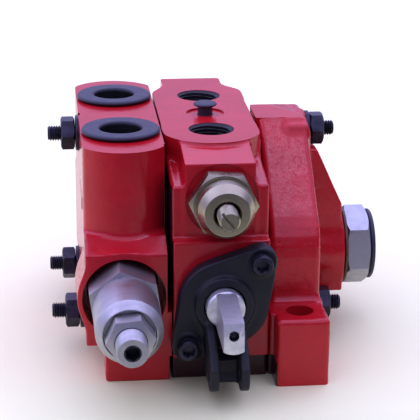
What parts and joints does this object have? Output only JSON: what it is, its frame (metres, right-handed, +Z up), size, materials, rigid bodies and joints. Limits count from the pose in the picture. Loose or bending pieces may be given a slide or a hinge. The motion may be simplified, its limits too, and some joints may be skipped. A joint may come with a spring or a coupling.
{
  "type": "sectional hydraulic valve",
  "caption": "Red cast sectional hydraulic valve: inlet, working and end sections clamped by tie rods, with relief cartridges, a lever-bracket spool and capped ports.",
  "frame": {"origin": "in the mounting plane, under the middle between working ports A and B", "axes": "+X along the tie rods from the inlet section to the end section, +Y to the back, away from the lever bracket, +Z up, out of the port faces"},
  "size_m": [0.1671, 0.2839, 0.1172],
  "materials": {
    "red_enamel": "gloss enamel over cast iron, machined faces painted too",
    "black_plastic": "moulded, slightly shiny",
    "zinc_plate": "zinc-plated, turned",
    "turned_steel": "bare, turned",
    "spring_steel": "oiled",
    "black_steel": "black oxide",
    "black_iron": "black, satin",
    "seal_washer": "dull, oiled",
    "rubber": "dull"
  },
  "bodies": {
    "housing": {"inlet_section": "red_enamel", "working_section": "red_enamel", "end_section": "red_enamel", "gallery_plug": "zinc_plate", "main_relief_body": "zinc_plate", "main_relief_lock_nut": "zinc_plate", "gallery_plug_seal": "seal_washer", "port_relief_seal": "seal_washer", "tie_rod_top": "black_steel", "tie_washer_top_left": "black_steel", "tie_nut_top_left": "black_steel", "tie_washer_top_right": "black_steel", "tie_nut_top_right": "black_steel", "tie_rod_front": "black_steel", "tie_washer_front_left": "black_steel", "tie_nut_front_left": "black_steel", "tie_washer_front_right": "black_steel", "tie_nut_front_right": "black_steel", "tie_rod_rear": "black_steel", "tie_washer_rear_left": "black_steel", "tie_nut_rear_left": "black_steel", "tie_washer_rear_right": "black_steel", "tie_nut_rear_right": "black_steel", "port_relief_body": "turned_steel", "main_relief_spring": "spring_steel", "port_relief_spring": "spring_steel", "main_relief_seal": "rubber", "spool_seal_front": "rubber", "spool_seal_rear": "rubber", "pressure_seal_left": "rubber", "pressure_seal_right": "rubber", "tank_seal_left": "rubber", "tank_seal_right": "rubber", "lever_bracket": "black_iron", "spring_cover": "black_iron", "bracket_screw_upper": "black_steel", "bracket_screw_lower": "black_steel", "cover_screw_upper": "black_steel", "cover_screw_lower": "black_steel"},
    "spool": {"spool": "zinc_plate", "spool_end_screw": "black_steel", "spring_seat_front": "turned_steel", "spring_seat_rear": "turned_steel", "centring_spring": "spring_steel"},
    "main_relief_seat": {"main_relief_seat": "turned_steel"},
    "main_relief_screw": {"main_relief_screw": "zinc_plate"},
    "main_relief_poppet": {"main_relief_poppet": "turned_steel"},
    "port_relief_seat": {"port_relief_seat": "turned_steel"},
    "port_relief_screw": {"port_relief_screw": "turned_steel"},
    "port_relief_poppet": {"port_relief_poppet": "turned_steel"},
    "port_cap_front": {"port_cap_front": "black_plastic"},
    "port_cap_rear": {"port_cap_rear": "black_plastic"},
    "stub_plug": {"stub_plug": "black_plastic"},
    "gallery_plug_cap": {"gallery_plug_cap": "black_plastic"}
  },
  "joints": [
    {"name": "spool_slide", "type": "slide", "parent": "housing", "child": "spool", "axis": [0, 1, 0], "range_m": [-0.007, 0.007], "stiffness_N_per_m": 12000},
    {"name": "main_relief_advance", "type": "slide", "parent": "housing", "child": "main_relief_seat", "axis": [0, -1, 0], "range_m": [-0.00312, 0.00312], "deforming": ["main_relief_spring"]},
    {"name": "main_relief_turn", "type": "hinge", "parent": "main_relief_seat", "child": "main_relief_screw", "pos_m": [-0.046, -0.1469, 0.0425], "axis": [0, -1, 0], "range_deg": [-750, 750]},
    {"name": "main_relief_lift", "type": "slide", "parent": "housing", "child": "main_relief_poppet", "axis": [0, -1, 0], "range_m": [0, 0.002], "stiffness_N_per_m": 20000, "springref_m": -0.002, "deforming": ["main_relief_spring"]},
    {"name": "port_relief_advance", "type": "slide", "parent": "housing", "child": "port_relief_seat", "axis": [0, -1, 0], "range_m": [-0.00112, 0.00112], "deforming": ["port_relief_spring"]},
    {"name": "port_relief_turn", "type": "hinge", "parent": "port_relief_seat", "child": "port_relief_screw", "pos_m": [0.0005, -0.1116, 0.0899], "axis": [0, -1, 0], "range_deg": [-405, 405]},
    {"name": "port_relief_lift", "type": "slide", "parent": "housing", "child": "port_relief_poppet", "axis": [0, -1, 0], "range_m": [0, 0.0015], "stiffness_N_per_m": 10000, "springref_m": -0.002, "deforming": ["port_relief_spring"]},
    {"name": "port_cap_front_pull", "type": "slide", "parent": "housing", "child": "port_cap_front", "axis": [0, 0, 1], "range_m": [0, 0.03]},
    {"name": "port_cap_rear_pull", "type": "slide", "parent": "housing", "child": "port_cap_rear", "axis": [0, 0, 1], "range_m": [0, 0.03]},
    {"name": "stub_plug_pull", "type": "slide", "parent": "housing", "child": "stub_plug", "axis": [0, 0, 1], "range_m": [0, 0.015]},
    {"name": "gallery_plug_cap_pull", "type": "slide", "parent": "housing", "child": "gallery_plug_cap", "axis": [1, 0, 0], "range_m": [0, 0.015]}
  ],
  "couplings": [
    {"joint": "main_relief_turn", "follows": "main_relief_advance", "rad_per_m": 4188.8},
    {"joint": "port_relief_turn", "follows": "port_relief_advance", "rad_per_m": 6283.2}
  ]
}
